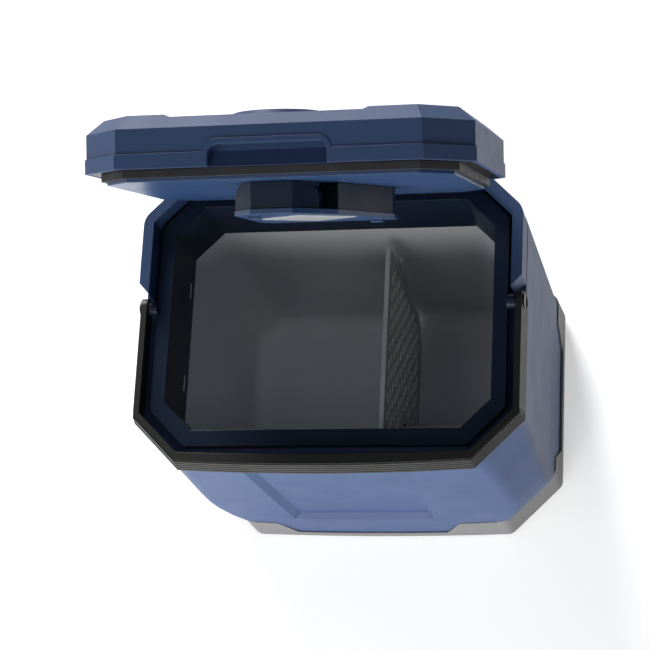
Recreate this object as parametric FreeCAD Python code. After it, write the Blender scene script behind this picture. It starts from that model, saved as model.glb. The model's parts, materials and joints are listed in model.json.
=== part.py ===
import FreeCAD, Part
import math
import os

V = FreeCAD.Vector

# Portable compressor cooler: a boxy octagonal tub with a hinged lid, a swinging carry handle
# and a small refrigeration pack in a bay under the front of the cavity.
# Frame: +Z up from the floor, +X to the user's right, +Y to the back. Millimetres.
# The lid is drawn closed and then swung open about its hinge, because the object rests open.

# ---- driving dimensions -------------------------------------------------------------------
FOOT_HEIGHT = 6.0
WALL = 3.0
FIT = 0.3  # general gap between neighbouring mouldings

RIM_Z = 348.0  # top of the navy rim strip, the datum of the mouth
DECK_Z = RIM_Z - 14.0  # ledge that the handle lies over
BAND_TOP_Z = RIM_Z + 18.0
THROAT_BOTTOM_Z = RIM_Z - 78.0
FLOOR_Z = RIM_Z - 300.0  # inside floor of the cavity
TRAY_Z = FOOT_HEIGHT  # underside of the base tray
SHELL_BOTTOM_Z = TRAY_Z + 4.0

HINGE_Y = 145.0
HINGE_Z = RIM_Z + 20.0
HINGE_X = 95.0
HINGE_HALF = 24.0
LID_OPEN_DEG = 72.9

PIVOT_Y = 10.5
PIVOT_Z = RIM_Z - 1.5
PIVOT_HOLE_R = 5.06
PIVOT_PIN_R = 5.0
PIVOT_HEAD_R = 8.0
BOSS_X = 184.0
BOSS_LENGTH = 9.2

LID_SKIRT_Z = RIM_Z + 8.0
LID_STEP_Z = RIM_Z + 22.0
LID_BEVEL_Z = RIM_Z + 45.5
LID_DIP_Z = RIM_Z + 57.0
LID_PAD_Z = RIM_Z + 59.7
LID_BEVEL_INSET = 13.0

CUP_X = -7.0
CUP_Y = -52.0
CUP_R = 35.0
CUP_WALL = 2.0
CUP_BOTTOM_Z = RIM_Z - 31.0
CUP_RING_H = 6.6
CUP_RING_LOW_R = 49.5
CUP_RING_TOP_R = 45.0

BAY_TOP_Z = FLOOR_Z + 105.0  # top of the step in the liner over the machinery
BAY_BACK_Y = -60.0

DIVIDER_X = 40.5
DIVIDER_T = 5.0
DIVIDER_ROWS = 14
DIVIDER_RIDGE = 2.4
DIVIDER_POCKET = 0.5
DIVIDER_BORDER = 8.0
DIVIDER_RIDGE_TOP_Z = RIM_Z - 107.0
SLOT_PITCH = 19.0
SLOT_LENGTH = 12.0
SLOT_HEIGHT = 8.0

SCREW_HEAD_R = 3.4
SCREW_HEAD_H = 1.8
SCREW_SHANK_R = 1.6
SCREW_SLOT_LENGTH = 3.8
SCREW_SLOT_WIDTH = 0.8
SCREW_SLOT_DEPTH = 0.9

SHIFT_Y = -5.1  # moves the plan centre of the open cooler to the origin

SHAPES = {}


# ---- helpers ------------------------------------------------------------------------------
class Plan:
    """A chamfered rectangle seen from above, whose front edge may bow outwards."""

    def __init__(self, half_x, front, back, front_chamfer, back_chamfer, bow=0.0):
        self.half_x = half_x
        self.front = front
        self.back = back
        self.front_chamfer = front_chamfer
        self.back_chamfer = back_chamfer
        self.bow = bow

    def inset(self, distance):
        shrink = distance * (2.0 - math.sqrt(2.0))
        return Plan(
            self.half_x - distance,
            self.front + distance,
            self.back - distance,
            self.front_chamfer - shrink,
            self.back_chamfer - shrink,
            self.bow,
        )

    def corners(self, z):
        x = self.half_x
        f = self.front
        b = self.back
        cf = self.front_chamfer
        cb = self.back_chamfer
        flat = [
            (-x + cf, f), (x - cf, f), (x, f + cf), (x, b - cb),
            (x - cb, b), (-x + cb, b), (-x, b - cb), (-x, f + cf),
        ]
        return [V(px, py, z) for px, py in flat]

    def wire(self, z):
        points = self.corners(z)
        if self.bow:
            middle = V(0, self.front - self.bow, z)
            edges = [Part.Arc(points[0], middle, points[1]).toShape()]
        else:
            edges = [Part.makeLine(points[0], points[1])]
        for i in range(1, 8):
            edges.append(Part.makeLine(points[i], points[(i + 1) % 8]))
        return Part.Wire(edges)

    def prism(self, z0, z1, radius=0.0):
        solid = Part.Face(self.wire(z0)).extrude(V(0, 0, z1 - z0))
        if radius:
            solid = solid.makeFillet(radius, upright_edges(solid))
        return solid

    def with_front_chamfer(self, chamfer):
        return Plan(self.half_x, self.front, self.back, chamfer, self.back_chamfer, self.bow)

    def rounded_wire(self, z, radius):
        """The outline with an arc at each corner."""
        points = self.corners(z)
        reach = radius * math.tan(math.radians(22.5))
        edges = []
        for i in range(8):
            here = points[i]
            ahead = points[(i + 1) % 8]
            after = points[(i + 2) % 8]
            start = here + (ahead - here).normalize() * reach
            end = ahead + (here - ahead).normalize() * reach
            leave = ahead + (after - ahead).normalize() * reach
            if i == 0 and self.bow:
                edges.append(Part.Arc(start, V(0, self.front - self.bow, z), end).toShape())
            else:
                edges.append(Part.makeLine(start, end))
            inward = (end - ahead).normalize() + (leave - ahead).normalize()
            sink = radius / math.cos(math.radians(22.5)) - radius
            edges.append(Part.Arc(end, ahead + inward.normalize() * sink, leave).toShape())
        return Part.Wire(edges)


def upright_edges(solid):
    found = []
    for edge in solid.Edges:
        a = edge.Vertexes[0].Point
        b = edge.Vertexes[-1].Point
        if abs(a.x - b.x) < 0.01 and abs(a.y - b.y) < 0.01 and abs(a.z - b.z) > 0.5:
            found.append(edge)
    return found


def edges_along(solid, direction):
    """The straight edges that run along a direction."""
    found = []
    for edge in solid.Edges:
        tangent = edge.tangentAt(edge.FirstParameter)
        if edge.Curve.TypeId == "Part::GeomLine" and abs(tangent.dot(direction)) > 0.9:
            found.append(edge)
    return found


def round_edges(solid):
    """The full circles that close the ends of a cylinder."""
    found = []
    for edge in solid.Edges:
        if edge.Curve.TypeId == "Part::GeomCircle" and edge.isClosed():
            found.append(edge)
    return found


def corners_of(x, y, reach_x, reach_y):
    """Four points round (x, y)."""
    return [(x + sx * reach_x, y + sy * reach_y) for sx in (-1, 1) for sy in (-1, 1)]


def loft(lower, upper, z0, z1):
    return Part.makeLoft([lower.wire(z0), upper.wire(z1)], True, True)


def box(x0, x1, y0, y1, z0, z1):
    return Part.makeBox(x1 - x0, y1 - y0, z1 - z0, V(x0, y0, z0))


def cyl(radius, start, direction, length):
    return Part.makeCylinder(radius, length, V(*start), V(*direction))


def prism_along_y(points, y0, y1):
    """A solid whose (x, z) outline runs from y0 to y1."""
    loop = [V(x, y0, z) for x, z in points]
    face = Part.Face(Part.makePolygon(loop + loop[:1]))
    return face.extrude(V(0, y1 - y0, 0))


def prism_along_x(points, x0, x1):
    """A solid whose (y, z) outline runs from x0 to x1."""
    loop = [V(x0, y, z) for y, z in points]
    face = Part.Face(Part.makePolygon(loop + loop[:1]))
    return face.extrude(V(x1 - x0, 0, 0))


def prism_along_z(points, z0, z1):
    loop = [V(x, y, z0) for x, y in points]
    face = Part.Face(Part.makePolygon(loop + loop[:1]))
    return face.extrude(V(0, 0, z1 - z0))


def bent_tube(points, radius, tube_radius):
    """A tube of straight runs joined by tangent arcs of one bend radius."""
    edges = []
    start = points[0]
    for i in range(1, len(points) - 1):
        before = (points[i - 1] - points[i]).normalize()
        after = (points[i + 1] - points[i]).normalize()
        half = before.getAngle(after) / 2.0
        back_off = radius / math.tan(half)
        entry = points[i] + before * back_off
        leave = points[i] + after * back_off
        centre = points[i] + (before + after).normalize() * (radius / math.sin(half))
        middle = centre + (points[i] - centre).normalize() * radius
        if start.distanceToPoint(entry) > 0.01:
            edges.append(Part.makeLine(start, entry))
        edges.append(Part.Arc(entry, middle, leave).toShape())
        start = leave
    edges.append(Part.makeLine(start, points[-1]))
    path = Part.Wire(edges)
    direction = points[1] - points[0]
    profile = Part.Wire(Part.makeCircle(tube_radius, points[0], direction))
    return path.makePipeShell([profile], True, False)


def screw(x, y, z, outward, shank):
    """A pan-head screw whose head sits on a face at (x, y, z) and stands out along outward."""
    out = V(*outward)
    seat = V(x, y, z)
    result = Part.makeCylinder(SCREW_HEAD_R, SCREW_HEAD_H, seat, out)
    if shank:
        result = result.fuse(Part.makeCylinder(SCREW_SHANK_R, shank, seat - out * shank, out))
    tip = seat + out * (SCREW_HEAD_H - SCREW_SLOT_DEPTH)
    sideways = V(0, 0, 1) if abs(out.z) < 0.5 else V(1, 0, 0)
    across = out.cross(sideways)
    corner = V(-SCREW_SLOT_LENGTH / 2, -SCREW_SLOT_WIDTH / 2, 0)
    for along in (sideways, across):
        slot = Part.makeBox(SCREW_SLOT_LENGTH, SCREW_SLOT_WIDTH, SCREW_HEAD_H, corner)
        turn = FreeCAD.Rotation(along, out.cross(along), out, "XZY")
        slot.Placement = FreeCAD.Placement(tip, turn)
        result = result.cut(slot)
    return result


def group(solids):
    return Part.makeCompound(solids)


def save(name, shape, lid=False):
    if lid:
        shape = shape.copy()
        shape.rotate(V(0, HINGE_Y, HINGE_Z), V(-1, 0, 0), LID_OPEN_DEG)
    SHAPES[name] = shape


# ---- plans of the mouldings ---------------------------------------------------------------
# Plan(half width, front, back, front chamfer, back chamfer, bow of the front)
OPENING = Plan(170.0, -122.5, 122.5, 30.0, 30.0)
STRIP = Plan(185.0, -139.5, 139.5, 38.5, 38.5)
BODY = Plan(201.5, -152.3, 151.5, 56.0, 46.0, 2.5)
BODY_ROUND = 20.0
BODY_SWELL_LEAST = 33.0  # the front chamfer where the corner stands out most
BODY_SWELL_AT = 0.3  # and how far up that is
BODY_SWELL_STEPS = 10
BODY_SWELL_FOOT = 50.0
BODY_SWELL_HEAD = 46.0
SKIRT = Plan(204.5, -154.0, 154.8, 56.5, 47.0, 2.5)
RIM_PLAN = BODY.with_front_chamfer(46.0).inset(0.4)
BAND_T = 11.1
DECK_T = 3.7
LINER_TOP = Plan(169.4, -121.9, 121.9, 30.5, 30.5)
LINER_FLOOR = Plan(148.0, -93.5, 93.5, 25.0, 25.0)
LINER_T = 2.5
LINER_CORNER_R = 20.0
LINER_FLOOR_R = 19.0
GUIDE_RIB_T = 2.2
BAY_LIP_R = 26.0
BAY_LIP_CUT = 14.5  # how far a 45 degree cut clear of the rounded lip starts from its sharp corner
HANDLE = Plan(204.2, -161.5, 400.0, 50.0, 40.0, 4.5)
HANDLE_SLOPE = 4.0
HANDLE_INNER = Plan(193.8, -147.6, 400.0, 42.0, 40.0, 3.0)
HANDLE_Z0 = RIM_Z - 12.0
HANDLE_Z1 = RIM_Z + 9.0
LID_BAND = Plan(188.6, -138.6, 138.6, 42.3, 42.3)
LID_SIDE = Plan(187.4, -137.4, 137.4, 42.3, 42.3)
GASKET = Plan(172.5, -127.0, 127.0, 31.0, 31.0)
GASKET_T = 5.0


# ---- cabinet ------------------------------------------------------------------------------
SKIRT_HIGH_Z = RIM_Z - 285.0
SKIRT_LOW_Z = RIM_Z - 328.0
SKIRT_ROUND = 12.0
SKIRT_LEAN = 1.6
SWELL_Z = SKIRT_HIGH_Z + 1.0
TRAY_SLOTS = 9
TRAY_SLOT_X = 30.0
TRAY_SLOT_PITCH = 10.0
TRAY_SLOT_WIDTH = 4.0
TRAY_SLOT_Y = (-135.0, -68.0)
FOOT_X = 160.0
FOOT_Y = 108.0
FOOT_R = 15.0
BAY_VENT = (-98.0, -66.0, 72.0, 124.0)  # y0, y1, z0, z1 of the side outlet
INLET_Y = -82.0
INLET_Z = 140.0
INLET_HALF_Y = 12.6
INLET_HALF_Z = 6.6
PANEL_HALF_X = 60.0
PANEL_LIP = 3.0
PANEL_Z0 = RIM_Z - 58.0
PANEL_Z1 = RIM_Z - 22.0
RECESS_DEPTH = 4.0
PANEL_FACE_Y = BODY.front + RECESS_DEPTH - 0.6
LAMP_YS = (-52.0, 52.0)
LAMP_HALF_Y = 9.0
LAMP_Z0 = RIM_Z - 69.0
LAMP_Z1 = RIM_Z - 63.5


def front_recess(extra):
    """The tapered hollow in the front wall; extra grows it for the inside of the wall."""
    top = RIM_Z - 16.0
    foot = RIM_Z - 266.0
    deep = BODY.front + RECESS_DEPTH
    outer = [(-101, top), (-92, foot), (74, foot), (94, top)]
    inner = [(-88, top), (-80, foot + 9), (64, foot + 9), (84, top)]
    grow = extra * 1.2
    signs = [(-1, 0), (-1, -1), (1, -1), (1, 0)]
    wires = []
    for loop, y in ((outer, BODY.front - 4.0), (inner, deep + extra)):
        points = [V(x + sx * grow, y, z + sz * grow) for (x, z), (sx, sz) in zip(loop, signs)]
        wires.append(Part.makePolygon(points + points[:1]))
    return Part.makeLoft(wires, True, True)


def swell_chamfer(share):
    """The front chamfer at a share of the height above the skirt."""
    if share < BODY_SWELL_AT:
        away = 1.0 - share / BODY_SWELL_AT
        return BODY_SWELL_LEAST + (BODY_SWELL_FOOT - BODY_SWELL_LEAST) * away ** 2
    away = (share - BODY_SWELL_AT) / (1.0 - BODY_SWELL_AT)
    return BODY_SWELL_LEAST + (BODY_SWELL_HEAD - BODY_SWELL_LEAST) * away ** 1.6


def body_solid(inset, z0, z1):
    """The cabinet's outside: straight behind the skirt, then swelling at the front corners."""
    radius = BODY_ROUND - inset
    foot = Part.Face(BODY.inset(inset).rounded_wire(z0, radius)).extrude(V(0, 0, SWELL_Z - z0))
    wires = []
    for step in range(BODY_SWELL_STEPS + 1):
        share = step / BODY_SWELL_STEPS
        plan = BODY.with_front_chamfer(swell_chamfer(share)).inset(inset)
        wires.append(plan.rounded_wire(SWELL_Z + (z1 - SWELL_Z) * share, radius))
    return foot.fuse(Part.makeLoft(wires, True, True))


def make_outer_shell():
    body = body_solid(0.0, SHELL_BOTTOM_Z, DECK_Z - 4.0)
    void = body_solid(WALL, SHELL_BOTTOM_Z - 1, DECK_Z)
    void = void.cut(front_recess(WALL))
    shell = body.cut(void).cut(front_recess(0.0))
    y0, y1, z0, z1 = BAY_VENT
    shell = shell.cut(box(-210, -190, y0, y1, z0, z1))
    half_y = INLET_HALF_Y + FIT
    half_z = INLET_HALF_Z + FIT
    inlet = box(-210, -190, INLET_Y - half_y, INLET_Y + half_y, INLET_Z - half_z, INLET_Z + half_z)
    half_x = PANEL_HALF_X - PANEL_LIP
    window = box(-half_x, half_x, -160, -135, PANEL_Z0 + PANEL_LIP, PANEL_Z1 - PANEL_LIP)
    save("outer_shell", shell.cut(inlet).cut(window))


def make_base_tray():
    """The floor of the cooler with its skirt, which dips in the middle of each side."""
    floor_top = SHELL_BOTTOM_Z - FIT
    floor = Part.Face(SKIRT.rounded_wire(TRAY_Z, SKIRT_ROUND)).extrude(V(0, 0, floor_top - TRAY_Z))
    low = SKIRT.rounded_wire(floor_top, SKIRT_ROUND)
    high = SKIRT.inset(SKIRT_LEAN).rounded_wire(SKIRT_HIGH_Z, SKIRT_ROUND)
    wall = Part.makeLoft([low, high], True, True)
    hollow = BODY.inset(-FIT).rounded_wire(SHELL_BOTTOM_Z - 1, BODY_ROUND + FIT)
    wall = wall.cut(Part.Face(hollow).extrude(V(0, 0, SKIRT_HIGH_Z)))
    top = SKIRT_HIGH_Z + 1
    dip_front = [(-117, top), (-97, SKIRT_LOW_Z), (76, SKIRT_LOW_Z), (98, top)]
    dip_side = [(-80, top), (-60, SKIRT_LOW_Z), (60, SKIRT_LOW_Z), (80, top)]
    wall = wall.cut(prism_along_y(dip_front, -200, 200))
    wall = wall.cut(prism_along_x(dip_side, -250, 250))
    tray = floor.fuse(wall)
    for i in range(TRAY_SLOTS):
        x = TRAY_SLOT_X + i * TRAY_SLOT_PITCH
        tray = tray.cut(box(x, x + TRAY_SLOT_WIDTH, *TRAY_SLOT_Y, 0, 20))
    save("base_tray", tray.removeSplitter())


def make_feet():
    feet = []
    for x, y in corners_of(0, 0, FOOT_X, FOOT_Y):
        pad = cyl(FOOT_R, (x, y, 0), (0, 0, 1), TRAY_Z)
        bottom = min(round_edges(pad), key=lambda edge: edge.CenterOfMass.z)
        feet.append(pad.makeChamfer(1.5, [bottom]))
    save("foot_pads", group(feet))


def band_ends(side):
    """Cuts the rear band off at the sides on a slant in plan."""
    outline = [(186, 16), (204, 36), (204, -300), (100, -300), (100, 16)]
    return prism_along_z([(side * x, y) for x, y in outline], DECK_Z, BAND_TOP_Z + 5)


def make_rim_frame():
    """The deck under the handle and the raised band round the back half of the rim."""
    outline = Part.Face(RIM_PLAN.rounded_wire(DECK_Z - DECK_T, BODY_ROUND))
    deck = outline.extrude(V(0, 0, DECK_T))
    deck = deck.cut(OPENING.inset(-3.8).prism(DECK_Z - 10, DECK_Z + 10))
    band = outline.extrude(V(0, 0, BAND_TOP_Z - DECK_Z + DECK_T))
    band = band.cut(RIM_PLAN.inset(BAND_T).prism(DECK_Z - 5, BAND_TOP_Z + 1, 4.0))
    band = band.cut(box(-100, 100, -200, 0, DECK_Z - 1, BAND_TOP_Z + 1))
    half = HINGE_HALF + 4.0
    for side in (-1, 1):
        band = band.cut(band_ends(side))
        x = side * HINGE_X
        band = band.cut(box(x - half, x + half, 130, 160, HINGE_Z - 8, BAND_TOP_Z + 1))
    frame = deck.fuse(band)
    save("rim_frame", frame.removeSplitter())


def make_throat_collar():
    """The navy rim strip and the throat that leads down to the liner."""
    strip = STRIP.prism(DECK_Z + 0.2, RIM_Z, 6.0)
    throat = OPENING.inset(-3.5).prism(THROAT_BOTTOM_Z, DECK_Z + 1)
    collar = strip.fuse(throat)
    collar = collar.cut(loft(LINER_TOP, OPENING, THROAT_BOTTOM_Z, RIM_Z))
    for y in LAMP_YS:
        lamp = box(-174.5, -168.5, y - LAMP_HALF_Y, y + LAMP_HALF_Y, LAMP_Z0, LAMP_Z1)
        collar = collar.cut(lamp)
    for side in (-1, 1):
        boss = cyl(PIVOT_HEAD_R, (side * BOSS_X, PIVOT_Y, PIVOT_Z), (side, 0, 0), BOSS_LENGTH)
        hole = cyl(PIVOT_PIN_R + 0.05, (side * (BOSS_X + 0.2), PIVOT_Y, PIVOT_Z), (side, 0, 0), 14)
        trim = box(-300, 300, -300, 300, DECK_Z - 60, DECK_Z + 0.2)
        collar = collar.fuse(boss.cut(trim)).cut(hole)
    save("throat_collar", collar.removeSplitter())


def make_light_windows():
    windows = []
    for y in LAMP_YS:
        half = LAMP_HALF_Y - 0.2
        windows.append(box(-173.2, -169.8, y - half, y + half, LAMP_Z0 + 0.2, LAMP_Z1 - 0.2))
    save("light_windows", group(windows))


def liner_void(extra):
    """The cavity, grown by extra on every wall, with the machinery step taken out."""
    low = LINER_FLOOR.inset(-extra)
    high = LINER_TOP.inset(-extra)
    cavity = loft(low, high, FLOOR_Z - extra, THROAT_BOTTOM_Z - 2.0)
    leaning = []
    for edge in cavity.Edges:
        ends = [v.Point.z for v in edge.Vertexes]
        if max(ends) - min(ends) > 50:
            leaning.append(edge)
    cavity = cavity.makeFillet(LINER_CORNER_R + extra, leaning)
    rounded = []
    for edge in cavity.Edges:
        if edge.BoundBox.ZMax < FLOOR_Z + 1:
            rounded.append(edge)
    cavity = cavity.makeFillet(LINER_FLOOR_R + extra, rounded)
    step = box(-300, 300, -300, BAY_BACK_Y - extra, 0, BAY_TOP_Z - extra)
    lip = []
    for edge in step.Edges:
        middle = edge.CenterOfMass
        if abs(middle.y - BAY_BACK_Y + extra) < 0.1 and abs(middle.z - BAY_TOP_Z + extra) < 0.1:
            lip.append(edge)
    return cavity.cut(step.makeFillet(BAY_LIP_R - extra, lip))


def make_inner_liner():
    tub = liner_void(LINER_T).cut(liner_void(0.0))
    top = THROAT_BOTTOM_Z - 2.0
    flange = LINER_TOP.inset(-8.0).prism(top, THROAT_BOTTOM_Z - 0.2)
    flange = flange.cut(LINER_TOP.prism(top - 1, THROAT_BOTTOM_Z + 1))
    liner = tub.fuse(flange)
    half = DIVIDER_T / 2 + 0.4
    slant = [(96.5, 80), (93.0, 80), (108.0, 200), (115.0, 200)]
    for side in (-1, 1):
        x0 = DIVIDER_X + side * half
        x1 = x0 + side * GUIDE_RIB_T
        rib_back = prism_along_x(slant, min(x0, x1), max(x0, x1))
        liner = liner.fuse(rib_back.common(liner_void(1.0)))
    save("inner_liner", liner.removeSplitter())


def make_foam():
    outer = BODY.inset(WALL + 6.0).prism(SHELL_BOTTOM_Z + 2, DECK_Z - 4.5, 8.0)
    foam = outer.cut(liner_void(LINER_T + 3.0))
    foam = foam.cut(OPENING.inset(-10.0).prism(THROAT_BOTTOM_Z - 6, DECK_Z))
    bay = box(-300, 300, -300, BAY_BACK_Y - 4.5, 0, BAY_TOP_Z - 4.5)
    behind_recess = box(-112, 112, -300, -136.5, RIM_Z - 273, DECK_Z)
    save("foam_insulation", foam.cut(bay).cut(behind_recess))


def make_evaporator():
    """A roll-bond plate wrapped round the side and back walls of the liner, inside the foam."""
    z0 = FLOOR_Z + 60.0
    z1 = THROAT_BOTTOM_Z - 30.0
    outer = liner_void(LINER_T + 1.8)
    inner = liner_void(LINER_T + 0.5)
    sleeve = outer.cut(inner).common(box(-300, 300, BAY_BACK_Y + 20, 300, z0, z1))
    save("evaporator_plate", sleeve)


# ---- control panel and sockets ------------------------------------------------------------
BUTTON_R = 5.0
BUTTON_XS = (-44.0, 23.0, 35.0, 47.0)
BUTTON_Z = (PANEL_Z0 + PANEL_Z1) / 2
DISPLAY = (-32.0, 12.0, PANEL_Z0 + 7.0, PANEL_Z1 - 7.0)  # x0, x1, z0, z1
BOARD_HALF_X = 52.0
VENT_SLOTS = 6
INLET_DEPTH = 14.0
INLET_PIN_Y = 5.5


def panel_block(edge, y0, y1):
    """A block over the control panel's area, drawn in by edge on all four sides."""
    half = PANEL_HALF_X - edge
    return box(-half, half, y0, y1, PANEL_Z0 + edge, PANEL_Z1 - edge)


def make_control_panel():
    face = PANEL_FACE_Y
    bezel = panel_block(0.0, face - 1.6, face + 0.5)
    bezel = bezel.makeFillet(5.0, edges_along(bezel, V(0, 1, 0)))
    housing = panel_block(PANEL_LIP + 0.4, face, face + 9)
    housing = housing.cut(panel_block(PANEL_LIP + 2.4, face + 1.5, face + 10))
    bezel = bezel.fuse(housing)
    x0, x1, z0, z1 = DISPLAY
    bezel = bezel.cut(box(x0, x1, face - 5, face + 5, z0, z1))
    for x in BUTTON_XS:
        bezel = bezel.cut(cyl(BUTTON_R + 0.3, (x, face - 5, BUTTON_Z), (0, 1, 0), 20))
    save("panel_bezel", bezel.removeSplitter())
    lens = box(x0 + 0.15, x1 - 0.15, face - 1.2, face + 0.8, z0 + 0.15, z1 - 0.15)
    save("display_lens", lens)
    board = box(-BOARD_HALF_X, BOARD_HALF_X, face + 5.4, face + 7.0, PANEL_Z0 + 7.5, PANEL_Z1 - 7.5)
    save("display_board", board)
    names = ("power_button", "set_button", "minus_button", "plus_button")
    for name, x in zip(names, BUTTON_XS):
        cap = cyl(BUTTON_R, (x, face - 2.8, BUTTON_Z), (0, 1, 0), 5.4)
        front = min(round_edges(cap), key=lambda edge: edge.CenterOfMass.y)
        save(name, cap.makeFillet(0.8, [front]))


def inlet_block(x0, x1, spare):
    """A block on the power inlet's centre, wider than its body by spare all round."""
    half_y = INLET_HALF_Y + spare
    half_z = INLET_HALF_Z + spare
    return box(x0, x1, INLET_Y - half_y, INLET_Y + half_y, INLET_Z - half_z, INLET_Z + half_z)


def make_vent_and_inlet():
    y0, y1, z0, z1 = BAY_VENT
    x = -BODY.half_x
    plate = box(x - 1.4, x, y0 - 4, y1 + 4, z0 - 4, z1 + 4)
    plug = box(x, x + 4, y0 + FIT, y1 - FIT, z0 + FIT, z1 - FIT)
    grille = plate.fuse(plug)
    pitch = (z1 - z0 - 6) / VENT_SLOTS
    for i in range(VENT_SLOTS):
        low = z0 + 4 + i * pitch
        grille = grille.cut(box(x - 5, x + 10, y0 + 3, y1 - 3, low, low + pitch * 0.55))
    save("outlet_grille", grille.removeSplitter())
    flange = inlet_block(x - 2.0, x, 3.4)
    flange = flange.makeFillet(3.0, edges_along(flange, V(1, 0, 0)))
    socket = flange.fuse(inlet_block(x, x + INLET_DEPTH, 0.0))
    socket = socket.cut(inlet_block(x - 5, x + INLET_DEPTH - 3, -2.3))
    save("power_inlet", socket.removeSplitter())
    pins = []
    for side in (-1, 1):
        root = (x + INLET_DEPTH - 3, INLET_Y + side * INLET_PIN_Y, INLET_Z)
        pins.append(cyl(1.0, root, (-1, 0, 0), 8))
    save("inlet_pins", group(pins))


# ---- refrigeration pack in the bay --------------------------------------------------------
COMP_X = 72.0
COMP_Y = -103.0
COMP_R = 36.0
COMP_BASE_Z = SHELL_BOTTOM_Z + 14.0
COMP_TOP_Z = BAY_TOP_Z - 16.0
COIL_X0 = -128.0
COIL_X1 = -82.0
COIL_Y0 = -124.0
COIL_Y1 = -78.0
COIL_ROWS = 7
COIL_FINS = 12
COIL_TUBE_R = 3.0
FAN_X = -146.0
FAN_Y = -97.0
FAN_Z = 98.0
FAN_HALF = 30.0
FAN_T = 15.0
FAN_ARMS = 3
FAN_BLADES = 7
FAN_SPINDLE_R = 1.5
BOARD_Y = -138.0
BOARD_T = 1.6
SINK_FINS = 5
SINK_PITCH = 6.5
DRIER_X = -20.0
DRIER_Y = -88.0


def make_compressor():
    """A welded pot on a foot plate that stands on four rubber mounts."""
    pot = cyl(COMP_R, (COMP_X, COMP_Y, COMP_BASE_Z), (0, 0, 1), COMP_TOP_Z - COMP_BASE_Z)
    pot = pot.makeFillet(14.0, round_edges(pot))
    seam_z = (COMP_BASE_Z + COMP_TOP_Z) / 2 + 10
    pot = pot.fuse(cyl(COMP_R + 1.6, (COMP_X, COMP_Y, seam_z), (0, 0, 1), 3.0))
    top_z = COMP_BASE_Z + 0.5
    plate = box(COMP_X - 46, COMP_X + 46, COMP_Y - 34, COMP_Y + 34, COMP_BASE_Z - 3, top_z)
    mounts = []
    for x, y in corners_of(COMP_X, COMP_Y, 40, 28):
        plate = plate.cut(cyl(3.2, (x, y, 0), (0, 0, 1), 60))
        foot = cyl(6.5, (x, y, SHELL_BOTTOM_Z), (0, 0, 1), 10.7)
        stud = cyl(2.9, (x, y, SHELL_BOTTOM_Z), (0, 0, 1), 15.5)
        mounts.append(foot.fuse(stud))
    save("compressor", pot.fuse(plate).removeSplitter())
    save("compressor_mounts", group(mounts))


def make_condenser():
    """A tube that runs to and fro through a stack of fins."""
    z0 = SHELL_BOTTOM_Z + 12.0
    z1 = BAY_TOP_Z - 22.0
    pitch = (z1 - z0) / COIL_ROWS
    heights = [z0 + pitch * (row + 0.5) for row in range(COIL_ROWS)]
    tube_x = COIL_X0 + 14.0
    points = []
    for row, z in enumerate(heights):
        pair = [V(tube_x, COIL_Y0 - 8, z), V(tube_x, COIL_Y1 + 8, z)]
        if row % 2:
            pair.reverse()
        points += pair
    save("condenser_tube", bent_tube(points, 4.5, COIL_TUBE_R))
    fins = []
    for i in range(COIL_FINS):
        y = COIL_Y0 + (COIL_Y1 - COIL_Y0) * i / (COIL_FINS - 1)
        fin = box(COIL_X0, COIL_X1, y - 0.4, y + 0.4, z0, z1)
        for z in heights:
            fin = fin.cut(cyl(COIL_TUBE_R + 0.15, (tube_x, y - 2, z), (0, 1, 0), 4))
        fins.append(fin)
    save("condenser_fins", group(fins))


def along_fan(radius, x0, x1, y=0.0, z=0.0):
    """A cylinder along X, at (y, z) from the fan's axis."""
    return cyl(radius, (FAN_X + x0, FAN_Y + y, FAN_Z + z), (1, 0, 0), x1 - x0)


def make_fan():
    axis = V(FAN_X, FAN_Y, FAN_Z)
    half = FAN_HALF
    frame = box(FAN_X, FAN_X + FAN_T, FAN_Y - half, FAN_Y + half, FAN_Z - half, FAN_Z + half)
    frame = frame.makeFillet(4.0, edges_along(frame, V(1, 0, 0)))
    frame = frame.cut(along_fan(28.0, -1, FAN_T + 1))
    frame = frame.fuse(along_fan(11.0, 0, 3.0))
    for k in range(FAN_ARMS):
        arm = box(FAN_X, FAN_X + 2.5, FAN_Y - 1.6, FAN_Y + 1.6, FAN_Z + 9, FAN_Z + 29)
        arm.rotate(axis, V(1, 0, 0), 360.0 / FAN_ARMS * k)
        frame = frame.fuse(arm)
    for y, z in corners_of(0, 0, 25, 25):
        frame = frame.cut(along_fan(2.0, -1, FAN_T + 1, y, z))
    frame = frame.fuse(along_fan(FAN_SPINDLE_R, 2.9, 10.9))
    save("fan_frame", frame.removeSplitter())
    rotor = along_fan(10.5, 3.6, 14.1)
    for k in range(FAN_BLADES):
        blade = box(FAN_X + 7.4, FAN_X + 9.0, FAN_Y - 5.0, FAN_Y + 5.0, FAN_Z + 8.5, FAN_Z + 26.5)
        blade.rotate(V(FAN_X + 8.2, FAN_Y, FAN_Z + 17), V(0, 0, 1), 28.0)
        blade.rotate(axis, V(1, 0, 0), 360.0 / FAN_BLADES * k)
        rotor = rotor.fuse(blade)
    rotor = rotor.cut(along_fan(FAN_SPINDLE_R + 0.05, 3.0, 11.4))
    save("fan_rotor", rotor.removeSplitter())


def make_electronics():
    front = BOARD_Y + BOARD_T
    save("control_board", box(-58, 8, BOARD_Y, front, 34, 116))
    seat = front + 0.1
    parts = [
        box(-52, -28, seat, seat + 18.3, 84, 106),
        box(-18, 0, seat, seat + 12.3, 88, 106),
        box(-50, -36, seat, seat + 10.3, 44, 66),
    ]
    sink = box(-26, 4, seat, seat + 5.3, 42, 74)
    for i in range(SINK_FINS):
        x = -25 + i * SINK_PITCH
        sink = sink.fuse(box(x, x + 2, seat + 5.1, seat + 20.3, 42, 74))
    save("power_parts", group(parts + [sink.removeSplitter()]))


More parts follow.
